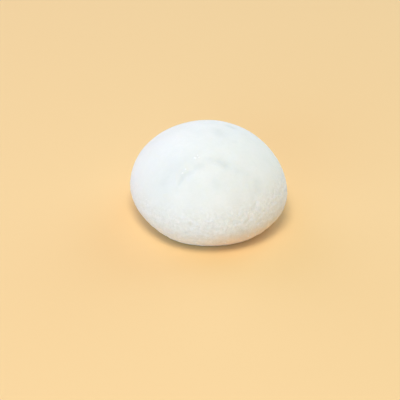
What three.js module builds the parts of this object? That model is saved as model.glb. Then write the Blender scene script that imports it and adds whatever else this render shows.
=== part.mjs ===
// A daifuku mochi: soft rice dough folded round a ball of filling, closed underneath and dusted with starch.
// It is one closed piece. Millimetres, +Z up, and the origin is in the middle of the flat that it rests on.
import * as THREE from "three";

// Driving dimensions.
const WIDTH = 64; // X, across the widest ring
const DEPTH = 63; // Y, across the widest ring
const HEIGHT = 37.7; // Z, from the table to the crown
const WIDEST_AT = 11.8; // height of the widest ring, low because the dough slumps
const FOOT_RADIUS = 24.6; // radius of the flat underside

// The half section is two curves that meet at the widest ring, an ellipse above it and a parabola below.
const WIDEST_RADIUS = WIDTH / 2;

// How far the hand-rolled cake is from round. The swell is a share of the radius, and the turn is in degrees.
const OVAL = { lobes: 2, swell: 0.0163, turn: 122.6 };
const SQUARE = { lobes: 4, swell: 0.0105, turn: 70 };
const FOOT_CORNERS = { lobes: 6, swell: 0.013, turn: 1.5 }; // where the dough was drawn in underneath
const CROWN_LEAN = { x: -0.5, y: 0.8 }; // how far the crown lies from the middle of the foot

// The filling sits towards the front, and its upper edge shows as an arch-shaped hollow round a low swell.
const ARCH = { x: 3.5, y: -28, halfWidth: 16, reach: 13.5, from: 18, to: 162, width: 2.4, depth: 0.2 };
const SWELL = { x: 3.5, y: -26, width: 10, height: 0.3 };

// Soft finger dents. Each runs between two places seen from above, and depth is into the dough.
const DENTS = [
  { from: [-12.4, -23.5], to: [-8.1, -20.2], width: 1.8, depth: 0.2 }, // left shoulder of the arch
  { from: [-4.6, -17.6], to: [-2.2, -16.8], width: 1.8, depth: 0.15 }, // left of the arch's top
  { from: [3.7, -15.2], to: [6.0, -16.1], width: 2.0, depth: 0.3 }, // right of the arch's top, the deepest
  { from: [10.9, -17.5], to: [14.3, -18.0], width: 2.0, depth: 0.15 }, // right shoulder of the arch
  { from: [18.3, -17.4], to: [18.9, -19.9], width: 2.2, depth: 0.25 }, // right of the arch
  { from: [3.0, -22.9], to: [3.2, -23.6], width: 2.2, depth: 0.25 }, // in the swell
  { from: [-18.4, -20.1], to: [-19.6, -20.6], width: 2.7, depth: 0.25 }, // left of the arch
  { from: [-17.0, -19.5], to: [-14.0, -17.5], width: 6.0, depth: 0.1 }, // a broad one round that
  { from: [-14.8, -9.6], to: [-13.6, -8.2], width: 2.4, depth: 0.12 }, // left shoulder of the crown
  { from: [3.8, 0.3], to: [5.4, -0.4], width: 2.5, depth: 0.15 }, // beside the crown
  { from: [8.4, 9.9], to: [9.4, 8.6], width: 1.5, depth: 0.2 }, // behind the crown
];

// The mesh. The rings are about as far apart as the corners of a ring.
const CORNERS = 96;
const DOME_RINGS = 34;
const FLANK_RINGS = 8;
const FOOT_FADE = 5; // relief fades out over this height above the table, so that the underside stays flat
const ARCH_STEPS = 24; // points along the arch's line
const DOUGH = { color: 0xf1f1ec, roughness: 0.85, metalness: 0 };

const radians = THREE.MathUtils.degToRad;

// The dome's height at a radius, on the plain section.
function domeHeight(radius) {
  const share = Math.min(radius / WIDEST_RADIUS, 1);
  return WIDEST_AT + (HEIGHT - WIDEST_AT) * Math.sqrt(1 - share * share);
}

// A point of the dome's half section. t runs from 0 at the widest ring to 1 at the crown.
function domePoint(t) {
  if (t === 1) return new THREE.Vector2(0, HEIGHT);
  const radius = WIDEST_RADIUS * Math.cos((t * Math.PI) / 2);
  return new THREE.Vector2(radius, domeHeight(radius));
}

// A point of the flank that tucks under. t runs from 0 at the foot to 1 at the widest ring.
function flankPoint(t) {
  const tuck = (WIDEST_RADIUS - FOOT_RADIUS) * Math.pow(1 - t, 2);
  return new THREE.Vector2(WIDEST_RADIUS - tuck, WIDEST_AT * t);
}

// The half section, from the middle of the underside, round the flank and up to the crown.
function halfSection() {
  const points = [new THREE.Vector2(0, 0)];
  for (let i = 0; i < FLANK_RINGS; i++) points.push(flankPoint(i / FLANK_RINGS));
  for (let i = 0; i <= DOME_RINGS; i++) points.push(domePoint(i / DOME_RINGS));
  return points;
}

// A place on the dome, given from above.
function onDome(x, y) {
  return new THREE.Vector3(x, y, domeHeight(Math.hypot(x, y)));
}

// 1 on a hollow's own line, and falling softly to 0 about two widths away.
function falloff(distance, width) {
  return Math.exp(-Math.pow(distance / width, 2));
}

// The arch's line over the dome, as points a few degrees apart.
function archLine() {
  const line = [];
  for (let i = 0; i <= ARCH_STEPS; i++) {
    const angle = radians(ARCH.from + ((ARCH.to - ARCH.from) * i) / ARCH_STEPS);
    line.push(onDome(ARCH.x + ARCH.halfWidth * Math.cos(angle), ARCH.y + ARCH.reach * Math.sin(angle)));
  }
  return line;
}

const ARCH_LINE = archLine();
const SWELL_TOP = onDome(SWELL.x, SWELL.y);
const DENT_LINES = DENTS.map((dent) => new THREE.Line3(onDome(...dent.from), onDome(...dent.to)));

// How far the surface is pressed in at a point, in millimetres.
function pressedIn(point) {
  const toArch = Math.min(...ARCH_LINE.map((place) => place.distanceTo(point)));
  let depth = ARCH.depth * falloff(toArch, ARCH.width);
  depth -= SWELL.height * falloff(SWELL_TOP.distanceTo(point), SWELL.width);
  const nearest = new THREE.Vector3();
  DENTS.forEach((dent, i) => {
    DENT_LINES[i].closestPointToPoint(point, true, nearest);
    depth += dent.depth * falloff(nearest.distanceTo(point), dent.width);
  });
  return depth * THREE.MathUtils.smoothstep(point.z, 0, FOOT_FADE);
}

// How much wider a form makes the cake in one direction, as a share of its radius.
function swellOf(form, azimuth) {
  return form.swell * Math.cos(form.lobes * (azimuth - radians(form.turn)));
}

// How far the cake is from round in one direction. The foot's blunt corners fade out up to the widest ring.
function outOfRound(azimuth, height) {
  const underneath = Math.pow(Math.max(0, 1 - height / WIDEST_AT), 2);
  return swellOf(OVAL, azimuth) + swellOf(SQUARE, azimuth) + underneath * swellOf(FOOT_CORNERS, azimuth);
}

// Turns the round form into the hand-made one: not quite round, leaning a little, and dented here and there.
function shapeByHand(geometry) {
  const core = new THREE.Vector3(0, 0, WIDEST_AT);
  const place = geometry.getAttribute("position");
  const point = new THREE.Vector3();
  const inward = new THREE.Vector3();
  for (let i = 0; i < place.count; i++) {
    point.fromBufferAttribute(place, i);
    inward.copy(core).sub(point).normalize();
    point.addScaledVector(inward, pressedIn(point));
    const wider = 1 + outOfRound(Math.atan2(point.y, point.x), point.z);
    const lean = Math.pow(point.z / HEIGHT, 2);
    place.setXYZ(i, point.x * wider + CROWN_LEAN.x * lean, point.y * wider + CROWN_LEAN.y * lean, point.z);
  }
}

// Sets the form's outer sizes, and puts the middle of its box over the origin.
function fitToSize(geometry) {
  geometry.computeBoundingBox();
  const size = geometry.boundingBox.getSize(new THREE.Vector3());
  geometry.scale(WIDTH / size.x, DEPTH / size.y, HEIGHT / size.z);
  geometry.computeBoundingBox();
  const middle = geometry.boundingBox.getCenter(new THREE.Vector3());
  geometry.translate(-middle.x, -middle.y, 0);
}

function makeMochi() {
  const geometry = new THREE.LatheGeometry(halfSection(), CORNERS);
  geometry.rotateX(Math.PI / 2); // the lathe turns round Y
  shapeByHand(geometry);
  fitToSize(geometry);
  geometry.computeVertexNormals();
  const mesh = new THREE.Mesh(geometry, new THREE.MeshStandardMaterial(DOUGH));
  mesh.name = "mochi";
  return mesh;
}

const group = new THREE.Group();
group.add(makeMochi());

export default group;
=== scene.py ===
# %% [markdown]
# # A stuffed mochi, dusted with starch
# The real thing is a ball of sweet filling wrapped in a skin of soft rice dough. The dough is pinched shut
# underneath and rolled in starch, so that it doesn't stick. It slumps under its own weight: wide and low,
# with its sides tucked in to a flat foot.
#
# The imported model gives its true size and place. This script models the soft skin over it, finishes it in
# dough and starch, and lights it. The shape is worked out in millimetres, and put in Blender's metres last.

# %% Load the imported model
import math
import random

import bmesh
import bpy
import numpy as np
from mathutils import Euler, Matrix, Vector, noise


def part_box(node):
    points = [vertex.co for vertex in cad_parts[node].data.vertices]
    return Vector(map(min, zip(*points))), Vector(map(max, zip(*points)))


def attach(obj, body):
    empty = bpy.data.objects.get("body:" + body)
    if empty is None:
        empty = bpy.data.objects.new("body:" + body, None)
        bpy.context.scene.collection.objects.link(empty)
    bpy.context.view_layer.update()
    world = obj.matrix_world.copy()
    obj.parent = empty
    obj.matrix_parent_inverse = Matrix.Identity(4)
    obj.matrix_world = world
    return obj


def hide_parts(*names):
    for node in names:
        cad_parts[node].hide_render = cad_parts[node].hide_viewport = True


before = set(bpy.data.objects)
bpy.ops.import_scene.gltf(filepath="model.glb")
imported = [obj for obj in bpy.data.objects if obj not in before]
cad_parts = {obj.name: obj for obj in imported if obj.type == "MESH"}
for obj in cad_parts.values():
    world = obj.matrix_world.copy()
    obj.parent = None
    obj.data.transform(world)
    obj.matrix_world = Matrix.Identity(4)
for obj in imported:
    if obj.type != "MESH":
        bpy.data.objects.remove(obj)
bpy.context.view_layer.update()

MM = 0.001  # one millimetre, in Blender's metres
low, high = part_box("mochi")
WIDTH, DEPTH, HEIGHT = (high - low) / MM
print(f"the mochi is {WIDTH:.1f} mm wide, {DEPTH:.1f} mm deep and {HEIGHT:.1f} mm high")

# %% [markdown]
# ## The camera
# A long lens from well back flattens a small thing less than a wide lens close to it, so the dome keeps its
# true outline. The camera looks down on the table from in front, and it is turned a little about its own
# axis, as a camera held by hand is.

# %% Camera
ELEVATION = math.radians(33.95)  # above the table
ROLL = math.radians(1.44)  # the right of the view hangs lower
SENSOR = 36  # mm
LENS = 187  # mm
DISTANCE = 858 * MM
LOOK_AT = Vector((-3.4, 8.9, 0)) * MM  # the place on the table in the middle of the view


def make_camera():
    """A camera that looks along +Y and down, at LOOK_AT."""
    data = bpy.data.cameras.new("camera")
    data.lens = LENS
    data.sensor_width = SENSOR
    camera = bpy.data.objects.new("camera", data)
    bpy.context.scene.collection.objects.link(camera)
    back = Vector((0, -math.cos(ELEVATION), math.sin(ELEVATION)))
    place = Matrix.Translation(LOOK_AT + back * DISTANCE)
    tilt = Euler((math.pi / 2 - ELEVATION, 0, 0)).to_matrix().to_4x4()
    camera.matrix_world = place @ tilt @ Matrix.Rotation(ROLL, 4, "Z")
    bpy.context.scene.camera = camera
    return camera


camera = make_camera()
print("camera at", [round(x / MM) for x in camera.matrix_world.translation], "mm")

# %% [markdown]
# ## A ball of small squares
# The skin needs fine, even faces, so that a dent looks the same wherever it is. A ball made of rings has
# a pole at its top, where the faces crowd together and pucker, just where a mochi is smoothest. So the skin
# starts as a cube instead. Its faces are cut into squares, and every corner is moved out to a sphere. Taking
# the tangent of each place first makes the squares about equal in size.

# %% Cut a cube and round it
CUTS = 119  # cuts across each face of the cube


def make_ball(cuts):
    """A unit sphere of nearly equal squares."""
    ball = bmesh.new()
    bmesh.ops.create_cube(ball, size=2)  # from -1 to 1 each way
    bmesh.ops.subdivide_edges(ball, edges=ball.edges[:], cuts=cuts, use_grid_fill=True)
    for vert in ball.verts:
        vert.co = Vector(math.tan(x * math.pi / 4) for x in vert.co).normalized()
    bmesh.ops.recalc_face_normals(ball, faces=ball.faces[:])
    return ball


skin = make_ball(CUTS)
print(len(skin.faces), "squares")

# %% [markdown]
# ## The slumped form
# Seen from the side, the cake is two curves that meet at its widest ring, low down: an ellipse above it, and
# below it a parabola that runs in to the foot. One way to get there is to squash the ball with a lattice, but
# then its sizes are a matter of luck. Here a ray goes from a point inside through each corner of the ball,
# and the corner moves along it to the wanted outline. The foot's edge is softened by taking the flank and
# the table together, and not just the nearer of them.

# %% Push the ball out to the section
WIDEST_RADIUS = WIDTH / 2
WIDEST_AT = 11.8  # height of the widest ring
FOOT_RADIUS = 24.6
FOOT_SHARPNESS = 45  # a larger number gives the foot a sharper edge
CORE = np.array([0, 0, WIDEST_AT])  # the rays start here
LEVEL = 1e-6  # stands for the slope of a level ray, which never meets the table


def reach(rays):
    """How far each ray goes from the core to the section."""
    across = np.hypot(rays[:, 0], rays[:, 1])
    up = rays[:, 2]
    dome = 1 / np.hypot(across / WIDEST_RADIUS, up / (HEIGHT - WIDEST_AT))  # to the ellipse
    tuck = (WIDEST_RADIUS - FOOT_RADIUS) * (up / WIDEST_AT) ** 2
    flank = 2 * WIDEST_RADIUS / (across + np.sqrt(across**2 + 4 * tuck * WIDEST_RADIUS))  # to the parabola
    table = WIDEST_AT / np.maximum(-up, LEVEL)
    under = (flank**-FOOT_SHARPNESS + table**-FOOT_SHARPNESS) ** (-1 / FOOT_SHARPNESS)
    return np.where(up > 0, dome, under)


rays = np.array([vert.co for vert in skin.verts])
places = CORE + rays * reach(rays)[:, None]
print(f"the plain form is {np.ptp(places[:, 2]):.2f} mm high")

# %% [markdown]
# ## How a mark is drawn
# Every mark on the skin is drawn the same way: a line on the dome, with a smooth hollow round it that is
# deepest on the line. Sculpting by hand would do too, but a mark that is written down can be moved or
# softened later. Soft dough never takes a clean edge, so the distance to a line is measured from places that
# noise has moved about a little. This kind of noise takes its seed from the clock unless it is given one,
# and then the cake would be another one each time.

# %% Distances on the skin
WANDER = dict(size=2.2, by=0.55, seed=1)  # how the edges of the marks stray


def on_skin(x, y, z=None):
    """The place on the plain dome above (x, y), or a place given in full, low on the flank."""
    if z is None:
        share = min(math.hypot(x, y) / WIDEST_RADIUS, 1)
        z = WIDEST_AT + (HEIGHT - WIDEST_AT) * math.sqrt(1 - share**2)
    return np.array([x, y, z])


def falloff(distance, width):
    """1 on a mark's own line, and 0 about two widths away."""
    return np.exp(-((distance / width) ** 2))


def smoothstep(value, start, end):
    """0 up to start, 1 from end, and a smooth ramp between them."""
    share = np.clip((value - start) / (end - start), 0, 1)
    return share * share * (3 - 2 * share)


def distance_to_line(points, start, end):
    """How far each point is from the straight line between two places."""
    along = end - start
    share = np.clip((points - start) @ along / (along @ along), 0, 1)
    return np.linalg.norm(points - start - share[:, None] * along, axis=1)


def wander(points):
    """The same points, each moved a little by noise."""
    noise.seed_set(WANDER["seed"])
    moves = [noise.noise_vector(Vector(point) / WANDER["size"]) for point in points]
    return points + WANDER["by"] * np.array(moves)


spots = wander(places)
print(f"the marks' edges stray by up to {np.linalg.norm(spots - places, axis=1).max():.2f} mm")

# %% [markdown]
# ## What the filling does
# The filling sits towards the front. The skin swells softly over it, and the filling's upper edge shows as
# a faint hollow in the form of an arch. Both are only a few tenths of a millimetre, and the light does
# the rest. Where the skin is drawn thin, the dark filling shows through, and the material will need to know
# that. So each mark has a thinness too, from 0 to 1.

# %% Arch and swell
ARCH = dict(x=3.5, y=-28, half_width=16, reach=13.5, start=18, end=162)  # mm and degrees, from above
ARCH_HOLLOW = dict(width=2.4, depth=0.2, thin=0.15)
ARCH_STEPS = 24  # short lines that make up the arch
SWELL = dict(x=3.5, y=-26, width=10, height=0.3)


def distance_to_arch(points):
    """How far each point is from the arch's line over the dome."""
    angles = np.radians(np.linspace(ARCH["start"], ARCH["end"], ARCH_STEPS + 1))
    across = ARCH["x"] + ARCH["half_width"] * np.cos(angles)
    along = ARCH["y"] + ARCH["reach"] * np.sin(angles)
    line = [on_skin(x, y) for x, y in zip(across, along)]
    return np.min([distance_to_line(points, *ends) for ends in zip(line, line[1:])], axis=0)


in_arch = falloff(distance_to_arch(spots), ARCH_HOLLOW["width"])
from_swell = np.linalg.norm(places - on_skin(SWELL["x"], SWELL["y"]), axis=1)
hollow = ARCH_HOLLOW["depth"] * in_arch - SWELL["height"] * falloff(from_swell, SWELL["width"])
thin = ARCH_HOLLOW["thin"] * in_arch
print(f"the filling swells the skin by {-hollow.min():.2f} mm")

# %% [markdown]
# ## What the hands do
# Fingers leave soft dents where they hold the cake, and where the skin folds a little it has a fine crease
# with a raised lip. A crease is several short lines in a row, so that it bends and its depth changes on the
# way. All of it fades out just above the table.

# %% Dents and creases
DENTS = [
    # the crease in the arch, on the left, from its foot up, and its raised lip
    dict(start=(-12.8, -23.8), end=(-11.9, -22.1), width=1.4, depth=0.06, thin=0.35),
    dict(start=(-11.9, -22.1), end=(-10.6, -20.7), width=1.5, depth=0.2, thin=0.6),
    dict(start=(-10.6, -20.7), end=(-8.1, -19.5), width=1.5, depth=0.25, thin=0.55),
    dict(start=(-8.1, -19.5), end=(-6.4, -19.2), width=1.1, depth=0.15, thin=0.4),
    dict(start=(-11.4, -19.9), end=(-8.8, -18.7), width=0.6, depth=-0.07, thin=0),
    # over the arch, from left to right, and the deepest of them is right of its top
    dict(start=(-5.5, -18.0), end=(-3.1, -17.3), width=1.5, depth=0.17, thin=0.45),
    dict(start=(0.9, -14.3), end=(3.4, -14.9), width=1.2, depth=0.12, thin=0.4),
    dict(start=(4.7, -15.4), end=(7.1, -16.3), width=1.8, depth=0.3, thin=0.7),
    dict(start=(7.4, -16.4), end=(8.5, -17.1), width=1.1, depth=0.12, thin=0.35),
    dict(start=(12.2, -16.5), end=(15.6, -16.9), width=2.0, depth=0.12, thin=0.3),
    dict(start=(18.9, -17.9), end=(19.5, -20.4), width=2.2, depth=0.22, thin=0.5),
    # inside the arch, and left of it
    dict(start=(3.3, -23.3), end=(3.5, -24.0), width=2.3, depth=0.25, thin=0.4),
    dict(start=(-16.9, -18.8), end=(-18.3, -19.3), width=3.2, depth=0.25, thin=0.55),
    dict(start=(-14.3, -18.0), end=(-14.0, -17.6), width=1.6, depth=0.1, thin=0.35),
    dict(start=(-17.0, -19.5), end=(-13.0, -16.5), width=6.5, depth=0.1, thin=0.45),
    dict(start=(-14.8, -9.6), end=(-13.6, -8.2), width=2.4, depth=0.12, thin=0.2),
    # round the crown
    dict(start=(4.2, 3.0), end=(4.6, 0.4), width=2.5, depth=0.15, thin=0.55),
    dict(start=(8.6, 10.3), end=(9.5, 9.7), width=1.7, depth=0.3, thin=0.95),
    dict(start=(10.2, -3.5), end=(10.4, -3.2), width=0.9, depth=0.05, thin=0.2),
    # low on the flank, with a short hooked crease in the middle
    dict(start=(13.3, -29.1, 11.1), end=(17.5, -25.5, 7.2), width=1.8, depth=0.15, thin=0.2),
    dict(start=(-0.3, -31.9, 14.0), end=(-0.8, -32.0, 11.3), width=0.8, depth=0.12, thin=0.3),
    dict(start=(-0.8, -32.0, 11.3), end=(-2.8, -31.6, 9.5), width=0.8, depth=0.12, thin=0.3),
]
FOOT_FADE = 5  # the relief fades out over this height above the table

for dent in DENTS:
    ends = on_skin(*dent["start"]), on_skin(*dent["end"])
    in_dent = falloff(distance_to_line(spots, *ends), dent["width"])
    hollow += dent["depth"] * in_dent
    thin = np.maximum(thin, dent["thin"] * in_dent)
hollow *= smoothstep(places[:, 2], 0, FOOT_FADE)
print(f"{len(DENTS)} strokes, the deepest hollow {hollow.max():.2f} mm")

# %% [markdown]
# ## Where the starch lies, and the painted bounce light
# The cake was rolled in starch and then set down in it, so low on the flank the starch is caked thick and
# gritty, and more so on the right. Near the crown there is only a veil. Just above the foot, on the front
# right, a warm tint is painted into the dough's colour: painted bounce light, standing in for the warmth
# that the table throws up there. Each of these is a number from 0 to 1 for every corner of the skin. The
# material reads both, and the grit's relief follows the first.

# %% Caked starch and painted bounce light
GRITTY_UP_TO = 15  # mm above the table
SMOOTH_FROM = 24
LEAST_GRIT = 0.15  # how much grit there still is on the crown
GRIT_RISE = 4  # how much higher the grit reaches on the right, and lower on the left
GRIT_BIAS = 0.35  # how much less grit there is on the left
BOUNCE_PAINT = dict(most=0.66, full_below=2, none_above=14.5)  # how strong the painted bounce light gets, and heights in mm
BOUNCE_PAINT_SIDE = dict(towards=-43, full_within=24, none_beyond=60)  # degrees round the cake
BOUNCE_PAINT_EDGE = dict(size=2.5, height=1.5)  # how its upper edge strays


def noise_height(points, layers):
    """Noise of several sizes added up, in millimetres."""
    total = np.zeros(len(points))
    for layer in layers:
        total += layer["height"] * np.array([noise.noise(Vector(point) / layer["size"]) for point in points])
    return total


rightward = places[:, 0] / WIDEST_RADIUS
height = places[:, 2]
caked = 1 - (1 - LEAST_GRIT) * smoothstep(height - GRIT_RISE * rightward, GRITTY_UP_TO, SMOOTH_FROM)
caked *= 1 - GRIT_BIAS * smoothstep(-rightward, 0, 1)
# Painted bounce light: a warm band low on the front right, on the side the camera sees, stands in for the
# light that the table throws up.
azimuth = np.arctan2(places[:, 1], places[:, 0])
aside = np.degrees(np.arccos(np.cos(azimuth - math.radians(BOUNCE_PAINT_SIDE["towards"]))))
on_side = 1 - smoothstep(aside, BOUNCE_PAINT_SIDE["full_within"], BOUNCE_PAINT_SIDE["none_beyond"])
ragged_height = height + noise_height(places, [BOUNCE_PAINT_EDGE])
low_down = 1 - smoothstep(ragged_height, BOUNCE_PAINT["full_below"], BOUNCE_PAINT["none_above"])
outside = smoothstep(np.hypot(places[:, 0], places[:, 1]), FOOT_RADIUS / 2, FOOT_RADIUS)  # not underneath
painted_bounce = BOUNCE_PAINT["most"] * low_down * outside * on_side
print(f"the starch is caked {caked.mean():.0%} on average, and the dough is up to {painted_bounce.max():.0%} bare")

# %% [markdown]
# ## The uneven skin
# Between the dents the skin is only nearly smooth. Broad, very low lumps come from the paste inside, and
# fine grit from the caked starch. Both are noise, of several sizes on top of each other. A sculptor would
# dab them on with a textured brush at low strength.

# %% Lumps and grit
LUMPS = [dict(size=17, height=0.14), dict(size=6.5, height=0.04)]
GRIT = [dict(size=2.2, height=0.16), dict(size=1.3, height=0.15), dict(size=0.8, height=0.12)]
GRIT_FADE = 1  # the grit fades out over this height above the table

lumps = noise_height(places, LUMPS) * smoothstep(height, 0, FOOT_FADE)
grit = noise_height(places, GRIT) * caked * smoothstep(height, 0, GRIT_FADE)
print(f"lumps up to {lumps.max():.2f} mm and grit up to {grit.max():.2f} mm high")

# %% [markdown]
# ## The pinched foot
# Underneath, the dough was pulled together and pinched shut, and then pressed flat on the table. What is
# left is a shallow pucker with a few creases that run out from it. They stop short of the foot's edge, which
# the weight of the cake keeps flat.

# %% Pinch it shut
PUCKER = dict(radius=3.2, depth=0.9)
CREASES = (12, 58, 101, 163, 208, 247, 311)  # degrees round the foot
CREASE = dict(length=15, shorter=0.5, width=0.9, depth=0.45, bend=0.02)
UNDERSIDE = (0.5, 1.5)  # mm above the table, where the pinch fades out


def crease_marks(x, y):
    """How much of a crease there is at each place of the underside, from 0 to 1."""
    radius = np.hypot(x, y)
    marks = np.zeros(len(x))
    for number, degrees in enumerate(CREASES):
        length = CREASE["length"] * (1 - CREASE["shorter"] * math.sin(number) ** 2)
        turn = math.radians(degrees) + CREASE["bend"] * radius * math.cos(number)
        beside = np.abs(y * np.cos(turn) - x * np.sin(turn))
        ahead = x * np.cos(turn) + y * np.sin(turn) > 0
        runs_out = 1 - smoothstep(radius, length / 3, length)
        marks += falloff(beside, CREASE["width"]) * ahead * runs_out
    return marks * smoothstep(radius, 0, PUCKER["radius"])


def pinch(points):
    """How far the underside is drawn up where the dough was pinched shut."""
    x, y, z = points.T
    drawn = PUCKER["depth"] * falloff(np.hypot(x, y), PUCKER["radius"])
    drawn += CREASE["depth"] * crease_marks(x, y)
    return drawn * (1 - smoothstep(z, *UNDERSIDE))


places += rays * (lumps + grit - hollow)[:, None]
places[:, 2] += pinch(places)
print(f"the foot is drawn up by {pinch(places).max():.2f} mm in its middle")

# %% [markdown]
# ## Not quite round
# From above, the cake is a little oval and a little square, and its crown leans. Its foot has six blunt
# corners, where fingers drew the dough in. These are the largest of its unevennesses, and the ones that its
# outline shows. They come last, as a gentle push on the finished cake, and then it is scaled and moved to
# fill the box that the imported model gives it.

# %% Oval, square and leaning
OVAL = dict(lobes=2, swell=0.0163, turn=122.6)
SQUARE = dict(lobes=4, swell=0.0105, turn=70)
FOOT_CORNERS = dict(lobes=6, swell=0.013, turn=1.5)
CROWN_LEAN = np.array([-0.5, 0.8])  # mm


def swell_of(form, azimuth):
    """How much wider a form makes the cake in each direction, as a share of its radius."""
    return form["swell"] * np.cos(form["lobes"] * (azimuth - math.radians(form["turn"])))


def push_out_of_round(points):
    """The same cake, a little wider one way than another, with its crown leaning."""
    azimuth = np.arctan2(points[:, 1], points[:, 0])
    underneath = np.maximum(0, 1 - points[:, 2] / WIDEST_AT) ** 2
    wider = 1 + swell_of(OVAL, azimuth) + swell_of(SQUARE, azimuth)
    wider += underneath * swell_of(FOOT_CORNERS, azimuth)
    lean = ((points[:, 2] / HEIGHT) ** 2)[:, None] * CROWN_LEAN
    return np.column_stack([points[:, :2] * wider[:, None] + lean, points[:, 2]])


def fill_box(points, low, high):
    """The same points, scaled and moved to fill a box."""
    share = (points - points.min(0)) / np.ptp(points, axis=0)
    return low + share * (high - low)


places = fill_box(push_out_of_round(places), np.array(low), np.array(high))
for vert, place in zip(skin.verts, places):
    vert.co = place
print("skin box", places.min(0).round(4), places.max(0).round(4))

# %% [markdown]
# ## From bmesh to a piece
# The sculpted mesh becomes an object, now in metres. Each of its corners also carries three numbers that the
# material can read: how thin the skin is there, how much starch has caked on it, and how much warm bounce
# light from the table is painted there.

# %% Make the skin an object


def make_piece(name, form, material):
    """A smooth-shaded object from a bmesh."""
    mesh = bpy.data.meshes.new(name)
    form.to_mesh(mesh)
    form.free()
    mesh.shade_smooth()
    mesh.materials.append(material)
    piece = bpy.data.objects.new(name, mesh)
    bpy.context.scene.collection.objects.link(piece)
    return piece


def store(piece, name, values):
    """Keeps one number for each corner of a piece."""
    attribute = piece.data.attributes.new(name, "FLOAT", "POINT")
    attribute.data.foreach_set("value", values.astype(np.float32))


dough = bpy.data.materials.new("starched_dough")
mochi_skin = make_piece("mochi_skin", skin, dough)
store(mochi_skin, "thin_skin", thin)
store(mochi_skin, "caked_starch", caked)
# the share of painted bounce light from the table at each corner
store(mochi_skin, "painted_bounce_light", painted_bounce)
print("mochi_skin has", len(mochi_skin.data.polygons), "faces")

# %% [markdown]
# ## Nodes in a few words
# A material is a tree of nodes, and building it in code is long-winded: each node is made, set and linked in
# turn. These helpers say in one line what a step does, so that a material reads as a list of layers. Every
# pattern is laid out in the piece's own coordinates, so it stays with the piece wherever that goes.

# %% A node, and the start and end of a tree


def add_node(tree, kind, inputs=None, **settings):
    """A new node, with its settings made, and its inputs linked or set."""
    node = tree.nodes.new(kind)
    for name, value in settings.items():
        setattr(node, name, value)
    for name, value in (inputs or {}).items():
        if isinstance(value, bpy.types.NodeSocket):
            tree.links.new(value, node.inputs[name])
        else:
            node.inputs[name].default_value = value
    return node


def start_tree(material):
    """An empty tree, and the place of each point on the piece."""
    material.use_nodes = True
    tree = material.node_tree
    tree.nodes.clear()
    return tree, add_node(tree, "ShaderNodeTexCoord").outputs["Object"]


def finish_with(tree, inputs):
    """Ends the tree in one shader."""
    shader = add_node(tree, "ShaderNodeBsdfPrincipled", inputs)
    add_node(tree, "ShaderNodeOutputMaterial", {"Surface": shader.outputs["BSDF"]})


kinds = [kind for kind in dir(bpy.types) if kind.startswith("ShaderNode")]
print("there are", len(kinds), "kinds of node to choose from")

# %% [markdown]
# ## Patterns and blends
# A natural finish is mostly noise. It is stretched to the strength that is wanted, and then it blends two
# colours. Where a finish follows the form, it reads one of the numbers that the skin's corners carry. An
# image could be painted instead, but noise needs no file and has no seams.

# %% Helpers for patterns


def scale_of(size):
    """The scale that gives noise with lumps of a size in millimetres."""
    return 1 / (size * MM)


def noise_of(tree, place, size, detail=2.0, roughness=0.5):
    """Noise round 0.5, with lumps of the given size in millimetres."""
    inputs = {"Vector": place, "Scale": scale_of(size), "Detail": detail, "Roughness": roughness}
    return add_node(tree, "ShaderNodeTexNoise", inputs).outputs["Fac"]


def ramp(tree, value, given, wanted):
    """A value stretched from the given range to the wanted one, and held inside it."""
    ends = zip(("From Min", "From Max", "To Min", "To Max"), (*given, *wanted))
    return add_node(tree, "ShaderNodeMapRange", {"Value": value, **dict(ends)}).outputs["Result"]


def calculate(tree, operation, *values):
    """One sum, product or the like of a few values."""
    return add_node(tree, "ShaderNodeMath", dict(enumerate(values)), operation=operation).outputs[0]


def blend_colours(tree, share, first, second):
    """A colour between two others."""
    node = add_node(tree, "ShaderNodeMix", data_type="RGBA")
    for name, value in (("Factor", share), ("A", first), ("B", second)):
        socket = next(s for s in node.inputs if s.name == name and s.enabled)
        if isinstance(value, bpy.types.NodeSocket):
            tree.links.new(value, socket)
        else:
            socket.default_value = value
    return next(s for s in node.outputs if s.enabled)


def attribute_of(tree, name):
    """A number that each corner of the mesh carries."""
    return add_node(tree, "ShaderNodeAttribute", attribute_name=name).outputs["Fac"]


def bump_of(tree, height, settings):
    """A surface that looks as high and low as a value is."""
    return add_node(tree, "ShaderNodeBump", {"Height": height, **settings}).outputs["Normal"]


print(f"noise with lumps of 1 mm has a scale of {scale_of(1):.0f}")

# %% [markdown]
# ## The finish of the dough
# Steamed rice dough is milky: light goes in, scatters and comes out warmer and softer, which is what
# subsurface scattering does. Over it lies starch, dry and pure white, in drifts that are thick here and thin
# there, with a fine speckle where it has caked. So the material is one shader whose colour runs between
# the two. Where the skin is thin, the filling darkens it to a faint cool grey. Low on the front right a warm
# tint is painted in, as painted bounce light from the table. The finest grains are too small to model one by
# one, so they are a bump.

# %% The dough's material
STARCH = (0.94, 0.945, 0.93, 1)
DOUGH = (0.72, 0.74, 0.70, 1)
FILLING_THROUGH = (0.64, 0.69, 0.69, 1)
# painted bounce light: the warm colour of light thrown up from the table, not the dough's own
TABLE_BOUNCE_PAINT = (0.92, 0.65, 0.40, 1)
DRIFTS = dict(size=9, spread=(0.35, 0.65), cover=(0.58, 0.72))  # mm, and how much starch covers the dough
POWDER = dict(size=1.4, spread=(0.25, 0.75), cover=(-0.5, 0.5))
POWDER_BUMP = {"Strength": 0.6, "Distance": 0.2 * MM}
SHOW_THROUGH = 0.6  # how much the filling shows where the skin is thinnest
DOUGH_ROUGHNESS = (0.55, 0.9)  # of bare dough, and of thick starch
MILKY = {
    "IOR": 1.4,
    "Subsurface Weight": 0.35,
    "Subsurface Radius": (1.0, 0.85, 0.65),  # red light goes deepest
    "Subsurface Scale": 2.5 * MM,
    "Sheen Weight": 0.15,
    "Sheen Roughness": 0.5,
}


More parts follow.
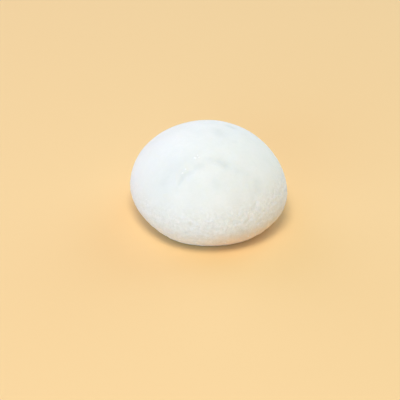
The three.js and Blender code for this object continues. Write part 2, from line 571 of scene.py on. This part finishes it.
def cover_of(tree, place):
    """How much starch covers the dough, and the part of it that the powder's speckle adds."""
    drifts = noise_of(tree, place, DRIFTS["size"], detail=3)
    powder = noise_of(tree, place, POWDER["size"], detail=3, roughness=0.8)
    speckle = ramp(tree, powder, POWDER["spread"], POWDER["cover"])
    speckle = calculate(tree, "MULTIPLY", speckle, attribute_of(tree, "caked_starch"))
    return calculate(tree, "ADD", ramp(tree, drifts, DRIFTS["spread"], DRIFTS["cover"]), speckle), speckle


def finish_dough(material):
    """Milky dough under an uneven coat of starch."""
    tree, place = start_tree(material)
    cover, speckle = cover_of(tree, place)
    colour = blend_colours(tree, cover, DOUGH, STARCH)
    show_through = calculate(tree, "MULTIPLY", attribute_of(tree, "thin_skin"), SHOW_THROUGH)
    colour = blend_colours(tree, show_through, colour, FILLING_THROUGH)
    # paint in the warm bounce light from the table, low on the front right
    colour = blend_colours(tree, attribute_of(tree, "painted_bounce_light"), colour, TABLE_BOUNCE_PAINT)
    roughness = ramp(tree, cover, (0, 1), DOUGH_ROUGHNESS)
    normal = bump_of(tree, speckle, POWDER_BUMP)
    finish_with(tree, {"Base Color": colour, "Roughness": roughness, "Normal": normal, **MILKY})


finish_dough(dough)
print("dough material has", len(dough.node_tree.nodes), "nodes")

# %% [markdown]
# ## Crumbs of starch
# Here and there the starch has caked into tiny crumbs that stand on the skin. A particle system could
# scatter them, but crumbs that are real mesh stay with the piece when it is exported. Each of them starts as
# the same small ball, with few faces, because there are hundreds. Blender lists a ball's faces in another
# order each time, so they are sorted, and then every run gives the same mesh.

# %% The ball that a crumb starts as
CRUMB_SIDES = 8  # seen from above
CRUMB_RINGS = 6
FACE_ORDER = Vector((1, 10, 100))  # the faces are sorted along this slanting line


def make_small_ball():
    """A ball of radius 1, with its faces in a fixed order."""
    form = bmesh.new()
    bmesh.ops.create_uvsphere(form, u_segments=CRUMB_SIDES, v_segments=CRUMB_RINGS, radius=1)
    form.faces.sort(key=lambda face: face.calc_center_median().dot(FACE_ORDER))
    ball = bpy.data.meshes.new("small_ball")
    form.to_mesh(ball)
    form.free()
    return ball


small_ball = make_small_ball()
print("a crumb has", len(small_ball.polygons), "faces")

# %% [markdown]
# ## One crumb
# A crumb is a low, uneven lump, mostly well under a millimetre across. A ball that only touched the skin
# would look like a bead. So it is squashed, turned and dented a little by chance, and sunk in the dough so
# far that its edge runs out gently.

# %% Press a crumb into the skin
CRUMB_HEIGHT = (0.3, 0.45)  # from its middle to its top, as a share of its radius
CRUMB_SQUASH = (0.8, 1.2)  # how wide it is each way, as a share of its radius
SUNK = 0.5  # how far its middle is below the skin, as a share of that height
UNEVEN = 0.06  # how far its corners stray, as a share of its radius


def skin_near(near):
    """The nearest place on the skin, and the way it faces there."""
    _, place, normal, _ = mochi_skin.closest_point_on_mesh(Vector(near) * MM)
    return place, normal


def add_crumb(form, ball, place, normal, radius, draw):
    """One low lump, pressed into the skin at a place."""
    radius *= MM
    facing = normal.to_track_quat("Z", "Y").to_matrix().to_4x4()
    turn = Matrix.Rotation(draw.uniform(0, math.tau), 4, "Z")
    height = draw.uniform(*CRUMB_HEIGHT)
    squash = Matrix.Diagonal((draw.uniform(*CRUMB_SQUASH), draw.uniform(*CRUMB_SQUASH), height, 1))
    sunk = Matrix.Translation(place - normal * radius * height * SUNK)
    form.from_mesh(ball)
    form.verts.ensure_lookup_table()
    for vert in form.verts[-len(ball.vertices):]:
        stray = Vector(draw.uniform(-1, 1) for _ in range(3)) * UNEVEN
        vert.co = sunk @ facing @ turn @ squash @ (radius * (vert.co + stray))


print(f"{SUNK:.0%} of a crumb's upper half is under the skin")

# %% [markdown]
# ## Scatter the crumbs
# The crumbs lie low on the flank, where the cake sat in the starch, and fewer and fewer of them lie higher
# up. Most are small: a draw between 0 and 1, raised to a power, is nearly always small. A few larger specks
# have caught in the arch, and those are listed one by one. Every draw of chance is seeded, so that the crumbs
# fall the same way each time.

# %% All the crumbs
SEED = 11
CRUMBS = 650
CRUMB_SIZES = (0.13, 0.36)  # mm, the radius of the smallest and the largest
LOWEST_CRUMB = 1.5  # mm above the table
HIGHEST_CRUMB = 21
MOSTLY_SMALL = 3  # the power: a larger number makes more of them small
SPECKS = [
    dict(x=-5.8, y=-13.2, radius=0.62),
    dict(x=-4.3, y=-13.0, radius=0.36),
    dict(x=-4.8, y=-12.1, radius=0.3),
    dict(x=-9.5, y=-17.2, radius=0.42),
    dict(x=-10.8, y=-18.4, radius=0.36),
]


def random_place(draw):
    """A place near the skin, most likely low on the flank."""
    azimuth = draw.uniform(0, math.tau)
    height = draw.triangular(LOWEST_CRUMB, HIGHEST_CRUMB, LOWEST_CRUMB)
    share = max(height - WIDEST_AT, 0) / (HEIGHT - WIDEST_AT)
    across = WIDEST_RADIUS * math.sqrt(max(0, 1 - share**2))
    return across * math.cos(azimuth), across * math.sin(azimuth), height


def make_crumbs():
    """All the crumbs as one bmesh."""
    draw = random.Random(SEED)
    form = bmesh.new()
    for speck in SPECKS:
        place, normal = skin_near(on_skin(speck["x"], speck["y"]))
        add_crumb(form, small_ball, place, normal, speck["radius"], draw)
    small, large = CRUMB_SIZES
    for _ in range(CRUMBS):
        place, normal = skin_near(random_place(draw))
        radius = small + (large - small) * draw.random() ** MOSTLY_SMALL
        add_crumb(form, small_ball, place, normal, radius, draw)
    return form


starch = bpy.data.materials.new("caked_starch")
starch_crumbs = make_piece("starch_crumbs", make_crumbs(), starch)
print("starch_crumbs has", len(starch_crumbs.data.polygons), "faces")

# %% [markdown]
# ## The finish of the crumbs
# Starch on its own is as white and matt as chalk. Its grains are far finer than a crumb, so they are a faint
# noise in its colour, and a bump.

# %% The starch's material
STARCH_SHADES = (0.94, 0.94, 0.93, 1), (0.99, 0.99, 0.98, 1)
GRAIN_SIZE = 0.3  # mm
GRAIN_BUMP = {"Strength": 0.4, "Distance": 0.05 * MM}
CHALKY = {"Roughness": 0.95, "Sheen Weight": 0.1}


def finish_starch(material):
    """Dry matt white, a little uneven."""
    tree, place = start_tree(material)
    grains = noise_of(tree, place, GRAIN_SIZE)
    colour = blend_colours(tree, grains, *STARCH_SHADES)
    normal = bump_of(tree, grains, GRAIN_BUMP)
    finish_with(tree, {"Base Color": colour, "Normal": normal, **CHALKY})


finish_starch(starch)
print("starch material has", len(starch.node_tree.nodes), "nodes")

# %% [markdown]
# ## Which piece stands for what
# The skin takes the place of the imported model's solid, which stays behind it for weight and collision. Both
# pieces ride on the model's only body.

# %% Tie the pieces to the model
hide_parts("mochi")
for piece in (mochi_skin, starch_crumbs):
    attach(piece, "root")
print("the skin stands for the mochi, and the crumbs lie on it")

# %% [markdown]
# ## The table
# The cake stands on a plain pale table, in the warm tone of light wood. A white thing takes its colour from
# what is round it: the table throws its warmth up under the tucked-in flank, and a grey table would leave
# the cake cold.

# %% Table
TABLE = (0.93, 0.64, 0.31, 1)
TABLE_ROUGHNESS = 0.8
TABLE_SIZE = 3  # metres, from the middle to an edge


def make_table():
    """A plain pale surface at the height of the foot."""
    material = bpy.data.materials.new("table")
    material.use_nodes = True
    shader = material.node_tree.nodes["Principled BSDF"]
    shader.inputs["Base Color"].default_value = TABLE
    shader.inputs["Roughness"].default_value = TABLE_ROUGHNESS
    form = bmesh.new()
    bmesh.ops.create_grid(form, x_segments=1, y_segments=1, size=TABLE_SIZE)
    make_piece("table", form, material)


make_table()
print("table is", 2 * TABLE_SIZE, "m across")

# %% [markdown]
# ## The light
# A white cake has hardly any shade, so its form has to show in the colours of its light. A soft warm lamp
# hangs nearly straight above, a little in front, and casts only a thin shadow where the flank tucks under.
# The rest is cool light of the day: a white card low in front on the left, which fills the flank, and two
# windows behind. A single large window would be simpler, but it leaves one side of the cake grey.

# %% Lamp, card and windows
LIGHT_DISTANCE = 1.3  # metres from the cake
LIGHTS = [  # directions in degrees, the azimuth from +X, and sizes in metres
    dict(name="main_lamp", azimuth=260, elevation=70, size=0.5, power=9.9, colour=(1.0, 0.89, 0.71)),
    dict(name="front_card", azimuth=240, elevation=8, size=1.1, power=12.2, colour=(0.28, 0.605, 1.0)),
    dict(name="back_right_window", azimuth=45, elevation=25, size=1.1, power=8, colour=(0.42, 0.725, 1.0)),
    dict(name="back_left_window", azimuth=135, elevation=25, size=1.1, power=6.8, colour=(0.575, 0.63, 1.0)),
]


def make_light(name, azimuth, elevation, size, power, colour):
    """A soft square light that faces the cake."""
    data = bpy.data.lights.new(name, "AREA")
    data.size = size
    data.energy = power
    data.color = colour
    light = bpy.data.objects.new(name, data)
    bpy.context.scene.collection.objects.link(light)
    around, above = math.radians(azimuth), math.radians(elevation)
    way = Vector((math.cos(around) * math.cos(above), math.sin(around) * math.cos(above), math.sin(above)))
    light.location = way * LIGHT_DISTANCE
    light.rotation_euler = (-way).to_track_quat("-Z", "Y").to_euler()


for light in LIGHTS:
    make_light(**light)

# %% [markdown]
# ## The room
# Walls and air send back a little light from all round, so that no shade is black. In Blender that is the
# background of the world. A film-like curve would dull the whites, so colours are shown as they are.

# %% The light of the room
ROOM = dict(colour=(0.98, 1.0, 0.96, 1), strength=0.3)


def light_room(colour, strength):
    """Light from all round."""
    world = bpy.data.worlds.new("room")
    world.use_nodes = True
    background = world.node_tree.nodes["Background"]
    background.inputs["Color"].default_value = colour
    background.inputs["Strength"].default_value = strength
    bpy.context.scene.world = world


light_room(**ROOM)
bpy.context.scene.view_settings.view_transform = "Standard"
print("the room's light has a strength of", ROOM["strength"])

# %% [markdown]
# ## The size
# The dressed cake is as large as the imported model, because its skin was scaled to fill that model's box.
